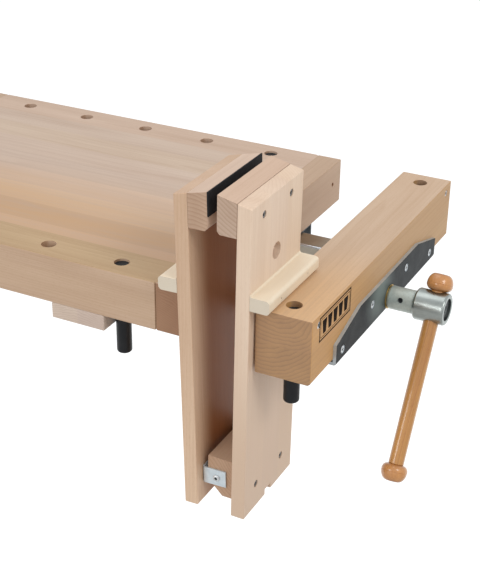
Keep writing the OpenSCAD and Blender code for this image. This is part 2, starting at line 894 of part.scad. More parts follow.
// The two ends of the pivot line on the heel block, each with +Z pointing outwards
module pivot_places() {
    translate([pivot_depth, heel_y, pivot_rise]) rotate([90, 0, 0]) children();
    translate([pivot_depth, 2 * board_mid_y - heel_y, pivot_rise]) rotate([-90, 0, 0]) children();
}

module pivot_screws() {
    head_h = 3;
    color("silver") on_front_board() pivot_places() difference() {
        union() {
            translate([0, 0, -pivot_screw_bite])
                cylinder(d = pivot_d, h = pivot_screw_bite + bracket_seat + facet);
            translate([0, 0, bracket_seat]) cylinder(d = 2 * pivot_d, h = head_h);
        }
        translate([0, 0, bracket_seat + head_h - socket_depth]) cylinder(d = pivot_d, h = head_h, $fn = 6);
    }
}

// Bracket at the near end, in the back board's coordinates: one leg lies along the board
// with an upright slot, the other turns across the heel block's end and carries the pivot
module hinge_bracket() {
    z0 = hinge_z - bracket_height / 2;
    outer = bracket_bend;
    inner = bracket_bend - bracket_thickness;
    difference() {
        translate([0, 0, z0]) linear_extrude(height = bracket_height) union() {
            translate([bracket_x, bracket_y + outer]) square([bracket_thickness, bracket_leg - outer]);
            translate([bracket_x + outer, bracket_y]) square([bracket_end_x - bracket_x - outer,
                                                              bracket_thickness]);
            translate([bracket_x + outer, bracket_y + outer]) intersection() {
                difference() {
                    circle(r = outer);
                    circle(r = inner);
                }
                translate([-outer, -outer]) square([outer, outer]);
            }
        }
        translate([hinge_x, bracket_y - 1, hinge_z]) rotate([-90, 0, 0])
            cylinder(d = pivot_d + 2 * shaft_fit, h = bracket_thickness + 2);
        translate([bracket_x - 1, slot_screw_y, hinge_z - slot_travel + slot_down]) {
            rod_x(slot_width / 2, 0, bracket_thickness + 2);
            span([0, -slot_width / 2, 0], [bracket_thickness + 2, slot_width / 2, slot_travel]);
            translate([0, 0, slot_travel]) rod_x(slot_width / 2, 0, bracket_thickness + 2);
        }
    }
}

module near_hinge_bracket() {
    color("lightgray") on_back_board() hinge_bracket();
}

module far_hinge_bracket() {
    color("lightgray") on_back_board() translate([0, 2 * board_mid_y, 0]) mirror([0, 1, 0]) hinge_bracket();
}

// Shouldered screws in the back board, on which the brackets slide up and down
module bracket_guide_screws() {
    head_d = 9;
    head_h = 2;
    color("silver") on_back_board() slot_screw_places() {
        translate([0, 0, -slot_screw_bite])
            cylinder(d = slot_screw_d, h = slot_screw_bite + bracket_seat + facet);
        translate([0, 0, bracket_seat]) cylinder(d = head_d, h = head_h);
    }
}

top_panel();
front_rail();
rear_rail();
vise_end_cap();
plain_end_cap();
vise_end_batten();
plain_end_batten();
batten_screws();
end_cap_screws();
vise_frame();
near_guide_saddle();
far_guide_saddle();
frame_screws();
spindle_nut();
nut_screws();
back_board();
back_jaw_block();
rubber_pad();
back_ledge();
back_block_screws();
bracket_guide_screws();
vise_jaw();
jaw_plate();
jaw_plate_screws();
jaw_face_screws();
near_guide();
far_guide();
brass_bush();
spindle();
spindle_head();
head_pin();
retaining_collar();
handle_bar();
upper_knob();
lower_knob();
near_hinge_bracket();
far_hinge_bracket();
front_board();
front_jaw_block();
front_ledge();
ledge_nails();
heel_block();
front_block_screws();
heel_block_screws();
pivot_screws();
near_bench_dog();
far_bench_dog();
near_jaw_dog();
far_jaw_dog();
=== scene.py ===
"""Looks for the joiner's bench top with its end vise and raised clamping attachment."""

import json
import math

import bmesh
import bpy
from mathutils import Matrix, Vector


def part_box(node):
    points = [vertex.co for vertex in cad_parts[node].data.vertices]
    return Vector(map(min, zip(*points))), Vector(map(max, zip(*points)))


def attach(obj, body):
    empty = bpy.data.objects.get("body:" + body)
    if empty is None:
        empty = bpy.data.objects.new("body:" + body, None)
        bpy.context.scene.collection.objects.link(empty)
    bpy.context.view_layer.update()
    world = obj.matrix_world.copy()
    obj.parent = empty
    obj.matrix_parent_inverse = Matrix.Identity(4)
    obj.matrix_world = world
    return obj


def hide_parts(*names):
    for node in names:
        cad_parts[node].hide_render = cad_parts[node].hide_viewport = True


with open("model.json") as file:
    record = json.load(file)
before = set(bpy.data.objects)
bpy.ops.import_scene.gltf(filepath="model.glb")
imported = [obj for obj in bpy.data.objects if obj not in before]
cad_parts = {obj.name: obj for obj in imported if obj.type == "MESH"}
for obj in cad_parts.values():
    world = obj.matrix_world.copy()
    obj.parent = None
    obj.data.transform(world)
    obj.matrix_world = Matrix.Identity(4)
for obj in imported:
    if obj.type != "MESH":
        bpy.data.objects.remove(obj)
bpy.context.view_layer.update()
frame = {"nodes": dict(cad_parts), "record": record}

BODY_OF = {node: body for body, nodes in frame["record"]["behaviour"]["bodies"].items() for node in nodes}

X, Y, Z = Vector((1, 0, 0)), Vector((0, 1, 0)), Vector((0, 0, 1))

# Camera: its place in metres, its lens and sensor in millimetres, its angles in degrees.
CAMERA_PLACE = (1.0477, -1.7909, 1.0005)
CAMERA_LENS = 81.7
CAMERA_SENSOR = 36
CAMERA_CLIP = (0.05, 60)
CAMERA_AZIMUTH = 26.99
CAMERA_ELEVATION = 27.22
CAMERA_ROLL = 0.71

# Soft round lights: name, place, diameter, power and colour. All of them face the same point.
WHITE = (1.0, 1.0, 1.0)
LIT_POINT = (0.1, -0.1, 0.0)
LIGHTS = (("key", (2.6, -1.0, 2.4), 1.4, 34, (1.0, 0.985, 0.96)),
          ("overhead", (-0.6, 0.3, 2.8), 2.0, 10, WHITE),
          ("front", (-1.0, -3.2, 1.3), 1.4, 26, WHITE))
SKY_COLOUR = (0.96, 0.98, 1.0, 1)
SKY_STRENGTH = 0.80

# Floor: its height and half width, and where it turns from its front tone into its back tone.
FLOOR_Z = -0.86
FLOOR_REACH = 14
FLOOR_AWAY = (-0.454, 0.891, 0.0)
FLOOR_TURNS = (-0.20, 0.08)
FLOOR_FRONT = (0.62, 0.61, 0.60)
FLOOR_BACK = (0.86, 0.86, 0.86)
FLOOR_GLOW = 0.34

# Wood figure: noise scales along and across the grain, how much each feature darkens the tone, and where
# the staves' numbers start.
WANDER_SCALE = (0.9, 14.0)
FIBRE_SCALE = (9.0, 620.0)
FLECK_SCALE = (150.0, 900.0)
BLOTCH_SCALE = (2.2, 26.0)
RING_WANDER = 0.030
WARM_WANDER = 0.18
RING_SHARE = 0.30
END_RING_SHARE = 0.55
BLOTCH_SHARE = 1.5
FIBRE_SHARE = 0.65
FLECK_SHARE = 0.22
DARK_SHARE = 0.25
FIRST_STAVE = 50
CHANCE_OFFSET = 0.37

# Metal figure: the scales of its scratches, without a direction and along or across a brushed one.
SCRATCH_SCALE = (1100.0, 1100.0)
BRUSHED_SCALE = (14.0, 1500.0)
GRIME = (0.16, 0.14, 0.11)

# Mesh work: when points or planes are the same, which edges are rounded, and in how many steps.
WELD = 2e-6
SAME = 2e-4
FLAT = math.radians(0.6)
SHARP = math.radians(28)
RIM_TURN = (math.radians(2), math.radians(35))
ROUND_STEPS = 3
WIDE_STEPS = 5
SMOOTH = 32
SCREW_SMOOTH = 40
THREAD_SMOOTH = 24

# Screws: head profiles as shares of the head's radius and depth, and recesses as shares of its radius.
DOMED_HEAD = ((0.97, 1.0), (1.0, 0.86), (0.97, 0.52), (0.86, 0.22), (0.70, 0.06), (0.56, 0.0))
FLAT_HEAD = ((0.55, 1.0), (0.96, 0.30), (1.0, 0.16))
CROSS_LENGTH = 1.12
CROSS_WIDTH = 0.30
HEXAGON_FLATS = 0.86
RECESS_DEPTH = 0.55
AT_RIM = 0.98

# Bench dogs, from the side inward and from the top down: a groove and the dished top.
DOG_NOSE = 0.004
DOG_GROOVE = ((0.0, 0.0125), (0.0004, 0.0120), (0.0004, 0.0112), (0.0, 0.0107))
DOG_TOP = ((0.0, 0.0010), (0.0003, 0.0003), (0.0010, 0.0), (0.0026, 0.0), (0.0032, 0.0006))
DOG_DISH = 0.0012

# Spindle: its thread, with plain stretches at both ends, and the rough ways of its cross pin and handle.
THREAD_LEAD = 0.005
THREAD_DEPTH = 0.0018
THREAD_SUNK = 0.0003
THREAD_END = 0.002
THREAD_STOP = 0.003
THREAD_SEGMENTS = 36
THREAD_PROFILE = (0.00, 0.34, 0.46, 0.88)
PIN_WAY = Vector((0, -1, 0.4))
BAR_WAY = Vector((0, 0.5, 0.87))
BAR_PLAY = 0.0004
BORE_PAST = 0.01

# Burnt mark: its lower corner from the jaw's near top corner, its size, and frames as (inset, line width).
BADGE_PLACE = (0.026, 0.047)
BADGE_WIDTH = 0.116
BADGE_HEIGHT = 0.041
BADGE_MARGIN = 0.0090
BADGE_FRAMES = ((0.0, 0.0026), (0.0050, 0.0010))
BADGE_SUNK = 0.0002
BADGE_PROUD = 0.00006
DOVETAILS = 5
DOVETAIL_FOOT = 0.26
DOVETAIL_HEAD = 0.42


# ---------------- camera, light and floor

def add_camera():
    """The viewpoint: in front of the bench and to its vise side, looking down."""
    azimuth, elevation = math.radians(CAMERA_AZIMUTH), math.radians(CAMERA_ELEVATION)
    roll = math.radians(CAMERA_ROLL)
    back = Vector((math.sin(azimuth) * math.cos(elevation), -math.cos(azimuth) * math.cos(elevation),
                   math.sin(elevation)))
    right = (-back).cross(Z).normalized()
    up = right.cross(-back)
    rolled_right = right * math.cos(roll) + up * math.sin(roll)
    rolled_up = up * math.cos(roll) - right * math.sin(roll)
    camera = bpy.data.objects.new("camera", bpy.data.cameras.new("camera"))
    camera.data.sensor_width = CAMERA_SENSOR
    camera.data.lens = CAMERA_LENS
    camera.data.clip_start, camera.data.clip_end = CAMERA_CLIP
    turn = Matrix((rolled_right, rolled_up, back)).transposed().to_4x4()
    camera.matrix_world = Matrix.Translation(CAMERA_PLACE) @ turn
    bpy.context.scene.collection.objects.link(camera)
    bpy.context.scene.camera = camera


def add_light(name, place, size, power, colour):
    data = bpy.data.lights.new(name, "AREA")
    data.shape = "DISK"
    data.size = size
    data.energy = power
    data.color = colour
    light = bpy.data.objects.new(name, data)
    light.location = place
    light.rotation_euler = (Vector(LIT_POINT) - Vector(place)).to_track_quat("-Z", "Y").to_euler()
    bpy.context.scene.collection.objects.link(light)


def add_sky():
    """An even, slightly cool studio light from all sides."""
    world = bpy.data.worlds.new("studio")
    bpy.context.scene.world = world
    world.use_nodes = True
    background = world.node_tree.nodes["Background"]
    background.inputs["Color"].default_value = SKY_COLOUR
    background.inputs["Strength"].default_value = SKY_STRENGTH
    bpy.context.scene.view_settings.view_transform = "Standard"


def add_floor():
    """A paper floor, bright behind the part and darker in front of it."""
    bm = bmesh.new()
    bmesh.ops.create_grid(bm, x_segments=1, y_segments=1, size=FLOOR_REACH)
    mesh = bpy.data.meshes.new("floor")
    bm.to_mesh(mesh)
    bm.free()
    floor = bpy.data.objects.new("floor", mesh)
    floor.location = (0, 0, FLOOR_Z)
    bpy.context.scene.collection.objects.link(floor)
    n = Nodes("floor_paper")
    spots = n.coordinates()["Object"]
    away = n.add("VectorMath", out=1, set_operation="DOT_PRODUCT", in0=spots, in1=FLOOR_AWAY)
    sweep = n.ramp(away, *FLOOR_TURNS)
    n.finish(Base_Color=n.mix(sweep, FLOOR_FRONT, FLOOR_BACK), Roughness=0.9, Specular_IOR_Level=0.1,
             Emission_Color=(1, 1, 1, 1), Emission_Strength=n.math("MULTIPLY", sweep, FLOOR_GLOW))
    mesh.materials.append(n.material)


# ---------------- material helpers

class Nodes:
    """A material, with short ways to add and link its shader nodes."""

    def __init__(self, name):
        self.material = bpy.data.materials.new(name)
        self.material.use_nodes = True
        self.tree = self.material.node_tree
        self.shader = self.tree.nodes["Principled BSDF"]

    def put(self, socket, value):
        if isinstance(value, bpy.types.NodeSocket):
            self.tree.links.new(value, socket)
        elif isinstance(value, (tuple, list)) and len(value) == 3 and socket.type == "RGBA":
            socket.default_value = (*value, 1)
        else:
            socket.default_value = value

    def add(self, kind, out=0, **inputs):
        """A node; inputs are given by name with _ for a space, or as in0, in1; settings start with set_."""
        node = self.tree.nodes.new("ShaderNode" + kind)
        for key, value in inputs.items():
            if key.startswith("set_"):
                setattr(node, key[4:], value)
        for key, value in inputs.items():
            if key.startswith("in") and key[2:].isdigit():
                self.put(node.inputs[int(key[2:])], value)
            elif not key.startswith("set_"):
                self.put(node.inputs[key.replace("_", " ")], value)
        return node.outputs[out]

    def coordinates(self):
        return self.tree.nodes.new("ShaderNodeTexCoord").outputs

    def split(self, vector):
        """The vector's three parts by axis name."""
        node = self.tree.nodes.new("ShaderNodeSeparateXYZ")
        self.put(node.inputs[0], vector)
        return dict(zip("XYZ", node.outputs))

    def math(self, operation, *values):
        inputs = {f"in{i}": value for i, value in enumerate(values)}
        return self.add("Math", set_operation=operation, **inputs)

    def total(self, first, *rest):
        for value in rest:
            first = self.math("ADD", first, value)
        return first

    def swing(self, value, reach):
        """Turns a value between 0 and 1 into one that swings about zero, reach wide."""
        return self.math("MULTIPLY", self.math("SUBTRACT", value, 0.5), reach)

    def mix(self, factor, first, second, blend="MIX"):
        node = self.tree.nodes.new("ShaderNodeMix")
        node.data_type = "RGBA"
        node.blend_type = blend
        self.put(node.inputs[0], factor)
        self.put(node.inputs[6], first)
        self.put(node.inputs[7], second)
        return node.outputs[2]

    def tinted(self, colour, tint):
        return self.mix(1.0, colour, tint, "MULTIPLY")

    def noise(self, vector, scale=1.0, detail=2.0, roughness=0.5):
        return self.add("TexNoise", Vector=vector, Scale=scale, Detail=detail, Roughness=roughness)

    def streaks(self, vector, grain, scales, detail=3.0, roughness=0.5):
        """Noise with one scale along the grain axis and another across it."""
        scale = tuple(scales[0] if axis == grain else scales[1] for axis in "XYZ")
        stretched = self.add("Mapping", Vector=vector, Scale=scale)
        return self.noise(stretched, detail=detail, roughness=roughness)

    def ramp(self, value, low, high, to_low=0.0, to_high=1.0):
        return self.add("MapRange", set_interpolation_type="SMOOTHSTEP", Value=value, From_Min=low,
                        From_Max=high, To_Min=to_low, To_Max=to_high)

    def finish(self, **sockets):
        """Sets the shader's own sockets and gives the material."""
        for key, value in sockets.items():
            self.put(self.shader.inputs[key.replace("_", " ")], value)
        return self.material


def growth_rings(n, axes, shift, pith, spread, wander, ring):
    """Dark late wood, once a ring, about a pith that shifts a little from stave to stave."""
    from_first, from_second = (n.math("SUBTRACT", n.math("SUBTRACT", place, middle), n.swing(moved, spread))
                               for place, middle, moved in zip(axes, pith, (shift["X"], shift["Y"])))
    radius = n.math("SQRT", n.math("ADD", n.math("MULTIPLY", from_first, from_first),
                                   n.math("MULTIPLY", from_second, from_second)))
    phase = n.math("FRACT", n.math("DIVIDE", n.math("ADD", radius, wander), ring))
    return n.math("MULTIPLY", n.math("POWER", phase, 3.0), n.ramp(phase, 0.93, 1.0, 1.0, 0.0))


def wood(name, light, dark, grain="X", stave=0.07, stave_axis="Y", stave_shift=0.0, pith=(0.0, 0.0),
         ring=0.0032, spread=0.05, straight=1.0, contrast=1.0, tone=0.12, seed=0.0, end=(0.80, 0.72, 0.66),
         end_rings=1.0, warm=None, inner=None, tilt=0.0, roughness=0.52, bump=0.25, coat=0.0):
    """Wood from a log whose pith runs along grain: growth rings, fibres, ray flecks and glued staves.

    pith is where the log's middle lies across the grain, ring a year's growth, end the end grain's tint.
    warm is (axis, start, full, colour). inner is (axis that the tinted face points along, y where the tint
    starts, y where it is full, tint); the back board uses it for painted shade on its inner face, where the
    two boards shade each other.
    """
    n = Nodes(name)
    coordinates = n.coordinates()
    place, normal = coordinates["Object"], coordinates["Normal"]
    if tilt:
        place = n.add("Mapping", Vector=place, Rotation=(tilt, 0, 0))
        normal = n.add("Mapping", Vector=normal, Rotation=(tilt, 0, 0))
    axes, faces = n.split(place), n.split(normal)

    across_staves = n.math("ADD", axes[stave_axis], stave_shift + FIRST_STAVE * stave)
    index = n.math("FLOOR", n.math("DIVIDE", across_staves, stave))
    chance = n.tree.nodes.new("ShaderNodeTexWhiteNoise")
    chance.noise_dimensions = "1D"
    n.put(chance.inputs["W"], n.math("ADD", index, seed + CHANCE_OFFSET))
    shift = n.split(chance.outputs["Color"])

    slow = n.streaks(place, grain, WANDER_SCALE)
    across = [axes[axis] for axis in "XYZ" if axis != grain]
    rings = growth_rings(n, across, shift, pith, spread, n.swing(slow, RING_WANDER * straight), ring)
    fibres = n.streaks(place, grain, FIBRE_SCALE, roughness=0.6)
    flecks = n.ramp(n.streaks(place, grain, FLECK_SCALE, detail=1.0), 0.56, 0.70)
    blotch = n.streaks(place, grain, BLOTCH_SCALE, detail=4.0, roughness=0.55)

    on_end = n.ramp(n.math("ABSOLUTE", faces[grain]), 0.55, 0.9)
    ring_share = n.math("ADD", RING_SHARE * contrast, n.math("MULTIPLY", on_end, END_RING_SHARE * end_rings))
    factor = n.add("Clamp", Value=n.total(n.math("MULTIPLY", rings, ring_share),
                                          n.swing(blotch, BLOTCH_SHARE * contrast),
                                          n.swing(fibres, FIBRE_SHARE * contrast),
                                          n.math("MULTIPLY", flecks, FLECK_SHARE * contrast), DARK_SHARE))
    if warm:
        warm_axis, start, full, glow = warm
        along_warm = n.math("ADD", axes[warm_axis], n.swing(slow, WARM_WANDER))
        ends = (0.0, 1.0) if start < full else (1.0, 0.0)
        light = n.mix(n.ramp(along_warm, min(start, full), max(start, full), *ends), light, glow)
    colour = n.mix(factor, light, dark)
    bright = n.math("ADD", 1.0 - tone / 2, n.math("MULTIPLY", chance.outputs["Value"], tone))
    blue = n.math("ADD", bright, n.swing(shift["Z"], tone * 0.6))
    colour = n.tinted(colour, n.add("CombineColor", in0=bright, in1=bright, in2=blue))
    colour = n.mix(on_end, colour, n.tinted(colour, end))
    # A tint on the faces that point one way, growing along Y: on the back board it is painted shade between
    # the boards.
    if inner:
        side, start, full, side_tint = inner
        share = n.math("MULTIPLY", n.ramp(faces[side], 0.5, 0.9), n.ramp(axes["Y"], start, full))
        colour = n.mix(share, colour, n.tinted(colour, side_tint))

    height = n.math("ADD", n.math("MULTIPLY", fibres, 0.7), n.math("MULTIPLY", rings, -0.3))
    relief = n.add("Bump", Strength=bump, Distance=0.0002, Height=height)
    gloss = n.math("ADD", roughness - 0.06, n.math("MULTIPLY", fibres, 0.12))
    return n.finish(Base_Color=colour, Roughness=gloss, Normal=relief, Coat_Weight=coat, Coat_Roughness=0.12,
                    Specular_IOR_Level=0.4)


def metal(name, colour, shade, roughness=0.35, mottle=60.0, brushed=None, bump=0.15, metallic=1.0, grime=0.0,
          painted_reflection=None, specular=0.5):
    """Plated or bare steel: patchy tone, fine scratches and a slight unevenness in its gloss.

    The optional round patch, given as (centre, radius, colour), is a painted reflection: brighter tone where
    a nearby part would be mirrored.
    """
    n = Nodes(name)
    place = n.coordinates()["Object"]
    patches = n.noise(place, scale=mottle, detail=5.0, roughness=0.65)
    scratches = n.streaks(place, brushed, BRUSHED_SCALE if brushed else SCRATCH_SCALE, roughness=0.7)
    factor = n.math("ADD", n.math("MULTIPLY", n.ramp(patches, 0.3, 0.7), 0.7),
                    n.math("MULTIPLY", scratches, 0.3))
    tone = n.mix(factor, colour, shade)
    if grime:
        spots = n.ramp(n.noise(place, scale=mottle * 4, detail=2.0), 0.62, 0.74, 0.0, grime)
        tone = n.mix(spots, tone, GRIME)
    # Painted reflection: a brighter round patch where a nearby part would be mirrored in the steel.
    if painted_reflection:
        centre, radius, bright = painted_reflection
        reach = n.add("VectorMath", out=1, set_operation="DISTANCE", in0=place, in1=centre)
        tone = n.mix(n.ramp(reach, 0.0, radius, 1.0, 0.0), tone, bright)
    unevenness = n.math("ADD", n.math("MULTIPLY", patches, 0.10), n.math("MULTIPLY", scratches, 0.08))
    gloss = n.math("ADD", roughness - 0.08, unevenness)
    relief = n.add("Bump", Strength=bump, Distance=0.0001, Height=scratches)
    return n.finish(Base_Color=tone, Roughness=gloss, Normal=relief, Metallic=metallic,
                    Specular_IOR_Level=specular)


def moulded(name, colour, roughness=0.42, grain=2600.0, bump=0.2, depth=0.0001, dust=0.03, specular=0.5):
    """Dull material with a fine grain and no direction, such as plastic, rubber or charred wood."""
    n = Nodes(name)
    place = n.coordinates()["Object"]
    fine = n.noise(place, scale=grain, detail=2.0)
    broad = n.noise(place, scale=70.0, detail=3.0)
    dusty = tuple(channel + dust for channel in colour)
    tone = n.mix(n.ramp(broad, 0.35, 0.75), colour, dusty)
    gloss = n.math("ADD", roughness - 0.05, n.math("MULTIPLY", broad, 0.12))
    relief = n.add("Bump", Strength=bump, Distance=depth, Height=fine)
    return n.finish(Base_Color=tone, Roughness=gloss, Normal=relief, Specular_IOR_Level=specular)


# ---------------- materials

def bench_woods():
    return {
        "panel": wood("panel_beech", (0.610, 0.470, 0.360), (0.480, 0.335, 0.240), stave=0.062,
                      stave_shift=0.014, pith=(0.0, -0.35), ring=0.0045, contrast=1.0, tone=0.13, spread=0.3,
                      seed=3, warm=("Y", 0.02, -0.14, (0.530, 0.325, 0.175))),
        "rail": wood("rail_beech", (0.560, 0.395, 0.270), (0.425, 0.270, 0.165), stave=0.041, stave_axis="Z",
                     pith=(-0.2, -0.1), ring=0.0036, contrast=1.1, tone=0.07, seed=8,
                     inner=("Z", -1.0, -0.9, (0.88, 0.86, 0.70))),
        "rear_rail": wood("rear_rail_beech", (0.600, 0.440, 0.330), (0.450, 0.300, 0.205), stave=0.041,
                          stave_axis="Z", pith=(0.2, 0.2), ring=0.004, contrast=0.8, tone=0.07, seed=12),
        "cap": wood("cap_beech", (0.540, 0.380, 0.265), (0.400, 0.255, 0.165), grain="Y", stave=0.2,
                    stave_axis="Z", pith=(0.12, -0.06), ring=0.0034, contrast=0.7, end=(0.70, 0.55, 0.46),
                    seed=5),
        "batten": wood("batten_beech", (0.660, 0.570, 0.485), (0.510, 0.410, 0.335), grain="Y", stave=0.2,
                       stave_axis="X", pith=(0.02, -0.09), ring=0.0036, contrast=0.8, end=(1.0, 0.93, 0.90),
                       seed=6),
    }


def attachment_woods():
    return {
        "board": wood("board_beech", (0.780, 0.610, 0.465), (0.640, 0.460, 0.325), grain="Z", stave=0.058,
                      stave_shift=0.02, pith=(0.2, -0.3), ring=0.0052, contrast=0.75, tone=0.06, seed=31,
                      spread=0.12, end=(0.95, 0.93, 0.92), end_rings=0.25,
                      warm=("Z", 0.08, -0.22, (0.620, 0.455, 0.330))),
        "back_board": wood("back_board_beech", (0.640, 0.450, 0.315), (0.500, 0.310, 0.190), grain="Z",
                           stave=0.058, stave_shift=0.03, pith=(0.2, -0.3), ring=0.0052, contrast=0.75,
                           tone=0.06, seed=35, spread=0.12, end=(0.95, 0.93, 0.92), end_rings=0.25,
                           # painted shade: the inner face darkens away from its near edge, as the shadow
                           # between the two boards
                           inner=("X", -0.306, -0.250, (0.50, 0.27, 0.12)),
                           warm=("Z", 0.05, -0.20, (0.720, 0.520, 0.370))),
        "back_block": wood("back_block_beech", (0.640, 0.470, 0.355), (0.500, 0.335, 0.235), grain="Y",
                           stave=0.3, stave_axis="Z", pith=(0.20, 0.10), ring=0.0064, contrast=0.7,
                           end=(0.80, 0.74, 0.68), end_rings=1.5, seed=41, straight=0.6),
        "front_block": wood("front_block_beech", (0.660, 0.475, 0.350), (0.520, 0.345, 0.235), grain="Y",
                            stave=0.3, stave_axis="Z", pith=(0.36, 0.36), ring=0.0062, contrast=0.7,
                            end=(0.84, 0.85, 0.86), end_rings=1.8, seed=45, straight=0.5),
        "heel": wood("heel_beech", (0.640, 0.450, 0.320), (0.500, 0.320, 0.205), grain="Y", stave=0.3,
                     stave_axis="Z", pith=(0.33, -0.12), ring=0.0062, contrast=0.7, end=(0.86, 0.80, 0.76),
                     end_rings=1.2, seed=47),
        "ledge": wood("ledge_maple", (0.800, 0.690, 0.530), (0.690, 0.560, 0.400), grain="Y", stave=0.3,
                      stave_axis="Z", pith=(0.1, 0.3), ring=0.003, contrast=0.45, end=(0.84, 0.86, 0.90),
                      end_rings=0.1, seed=51),
    }


def vise_woods():
    return {
        "jaw": wood("jaw_beech", (0.610, 0.440, 0.310), (0.480, 0.305, 0.185), grain="Y", stave=0.054,
                    stave_axis="Z", stave_shift=-0.001, pith=(0.33, 0.13), ring=0.0066, contrast=0.85,
                    seed=21, warm=("Y", -0.02, -0.24, (0.680, 0.430, 0.225)), end=(0.66, 0.60, 0.56),
                    spread=0.10, inner=("X", -1.0, -0.9, (0.84, 0.71, 0.48))),
        "handle": wood("varnished_beech", (0.610, 0.305, 0.085), (0.380, 0.150, 0.040), grain="Z", stave=0.5,
                       stave_axis="X", pith=(0.40, 0.05), ring=0.003, contrast=1.25, end=(0.85, 0.75, 0.7),
                       roughness=0.38, coat=0.75, bump=0.15, seed=61, tilt=0.524),
        "knob": wood("varnished_knob", (0.580, 0.270, 0.090), (0.400, 0.155, 0.045), grain="Z", stave=0.5,
                     stave_axis="X", pith=(0.40, 0.05), ring=0.003, contrast=0.75, end=(0.9, 0.85, 0.8),
                     roughness=0.34, coat=0.8, bump=0.12, seed=63, tilt=0.524),
    }


def metals():
    return {
        "plate": metal("jaw_plate_steel", (0.030, 0.034, 0.036), (0.014, 0.017, 0.019), roughness=0.55,
                       mottle=40.0, grime=0.2, metallic=0.55, specular=0.25,
                       # painted reflection of the spindle head, brighter around the collar
                       painted_reflection=((0.411, -0.045, 0.045), 0.070, (0.230, 0.275, 0.260))),
        # Painted highlight: light steel for the jaw plate's arrises and its faces that point up or toward
        # the near side.
        "plate_edge": metal("plate_edge_steel", (0.600, 0.650, 0.680), (0.440, 0.490, 0.520), roughness=0.34,
                            mottle=40.0, metallic=0.5),
        "dark_steel": metal("black_steel", (0.100, 0.115, 0.125), (0.065, 0.075, 0.085), roughness=0.48,
                            metallic=0.8, grime=0.3),
        "zinc": metal("zinc_plate", (0.760, 0.840, 0.880), (0.600, 0.680, 0.730), roughness=0.30,
                      mottle=90.0, metallic=0.35),
        "guide": metal("guide_steel", (0.520, 0.470, 0.390), (0.400, 0.355, 0.290), roughness=0.30,
                       brushed="X", mottle=30.0),
        # Painted highlight: light steel on the guides' rounded upper bend.
        "guide_edge": metal("guide_bend_steel", (0.700, 0.730, 0.760), (0.560, 0.590, 0.620), roughness=0.26,
                            brushed="X", mottle=30.0),
        "turned": metal("turned_steel", (0.440, 0.475, 0.455), (0.330, 0.360, 0.345), roughness=0.30,
                        mottle=40.0, brushed="X", bump=0.2),
        "cast": metal("cast_steel", (0.560, 0.615, 0.575), (0.430, 0.480, 0.445), roughness=0.46,
                      mottle=150.0, bump=0.5, metallic=0.6, grime=0.25),
        "screw": metal("screw_steel", (0.800, 0.830, 0.850), (0.640, 0.670, 0.690), roughness=0.26,
                       mottle=300.0, metallic=0.45),
        "socket": metal("grey_screw_steel", (0.300, 0.310, 0.320), (0.200, 0.205, 0.215), roughness=0.38,
                        mottle=300.0),
        # Painted shade: dark steel for the floors of screw recesses and the spindle head's end recess.
        "recess": metal("recess_shade_steel", (0.130, 0.142, 0.140), (0.080, 0.090, 0.088), roughness=0.42),
        "brass": metal("bush_brass", (0.620, 0.420, 0.130), (0.430, 0.270, 0.070), roughness=0.38,
                       mottle=120.0, grime=0.25),
    }


def dull_materials():
    return {
        "rubber": moulded("pad_rubber", (0.012, 0.012, 0.014), roughness=0.62, grain=900.0, bump=0.5,
                          depth=0.0003, dust=0.006, specular=0.15),
        "dog": moulded("dog_plastic", (0.007, 0.008, 0.010), dust=0.004, specular=0.3),
        "seam": moulded("dark_seam", (0.075, 0.036, 0.020), roughness=0.8, grain=1500.0, bump=0.1,
                        dust=0.02),
        "burn": moulded("burnt_wood", (0.016, 0.009, 0.006), roughness=0.95, grain=1500.0, bump=0.4,
                        dust=0.012, specular=0.1),
    }


# ---------------- mesh helpers

def shaded(piece, smooth=SMOOTH):
    """Smooth faces, edges sharp above an angle, and normals weighted by face area."""
    mesh = piece.data
    mesh.polygons.foreach_set("use_smooth", [True] * len(mesh.polygons))
    mesh.set_sharp_from_angle(angle=math.radians(smooth))
    weighted = piece.modifiers.new("even_normals", "WEIGHTED_NORMAL")
    weighted.keep_sharp = True
    return piece


def placed(name, bm):
    """An object made of the shape, in the scene."""
    bmesh.ops.recalc_face_normals(bm, faces=bm.faces)
    mesh = bpy.data.meshes.new(name)
    bm.to_mesh(mesh)
    bm.free()
    piece = bpy.data.objects.new(name, mesh)
    bpy.context.scene.collection.objects.link(piece)
    return piece


def link(name, bm, *materials, smooth=SMOOTH):
    """A finished mesh object with one material or more."""
    piece = placed(name, bm)
    for material in materials:
        piece.data.materials.append(material)
    return shaded(piece, smooth)


def stand_for(piece, node):
    """The piece replaces a CAD node and moves with its body."""
    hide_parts(node)
    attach(piece, BODY_OF[node])


def cad_mesh(node):
    return frame["nodes"][node].data


def joined(node):
    """The CAD node's triangles, with the corners that they share made one."""
    bm = bmesh.new()
    bm.from_mesh(cad_mesh(node))
    bmesh.ops.remove_doubles(bm, verts=bm.verts, dist=WELD)
    return bm


def folded(edge):
    return len(edge.link_faces) == 2 and edge.calc_face_angle(0) > SHARP


def curved(edge):
    """Whether an edge belongs to a rim, where each edge turns a little from the last one."""
    line = (edge.verts[1].co - edge.verts[0].co).normalized()
    for vert in edge.verts:
        for other in vert.link_edges:
            if other is not edge and folded(other):
                turn = line.angle(other.verts[1].co - other.verts[0].co)
                if RIM_TURN[0] < min(turn, math.pi - turn) < RIM_TURN[1]:
                    return True
    return False


def rounded(bm, edges, width, steps=ROUND_STEPS, slot=0):
    edges = [edge for edge in edges if edge.is_valid]
    if width and edges:
        bmesh.ops.bevel(bm, geom=edges, offset=width, offset_type="OFFSET", segments=steps, profile=0.5,
                        affect="EDGES", clamp_overlap=True, material=slot)


